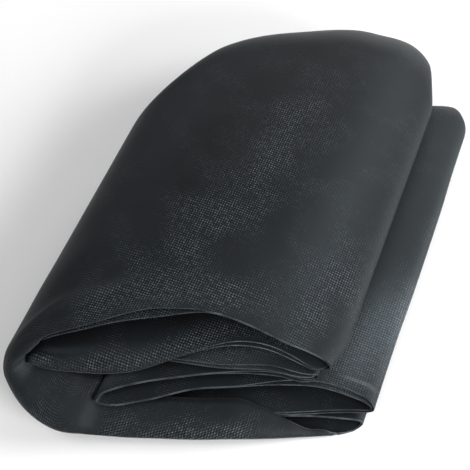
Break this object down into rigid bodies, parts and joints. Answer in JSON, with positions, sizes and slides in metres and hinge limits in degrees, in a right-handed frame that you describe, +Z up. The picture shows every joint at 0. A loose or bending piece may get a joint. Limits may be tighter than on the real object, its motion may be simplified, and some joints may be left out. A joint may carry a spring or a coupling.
{
  "type": "folded garden netting",
  "caption": "Length of fine black garden netting, laid double and folded back and forth into a soft flat pack with a bulging closed side and an open front.",
  "frame": {"origin": "bottom centre of the pack's bounding box, on the face of its lowest layer that rests on the surface", "axes": "+Z up, away from the surface it lies on; +Y along the folds, from the open front to the rounded back; +X across the folds, from the bulging closed side to the side where the layers step"},
  "size_m": [0.1856, 0.3138, 0.0514],
  "materials": {
    "net": "black fine woven mesh, slightly sheer, with a soft dull sheen on its threads"
  },
  "bodies": {
    "root": {"netting": "net"}
  },
  "joints": []
}
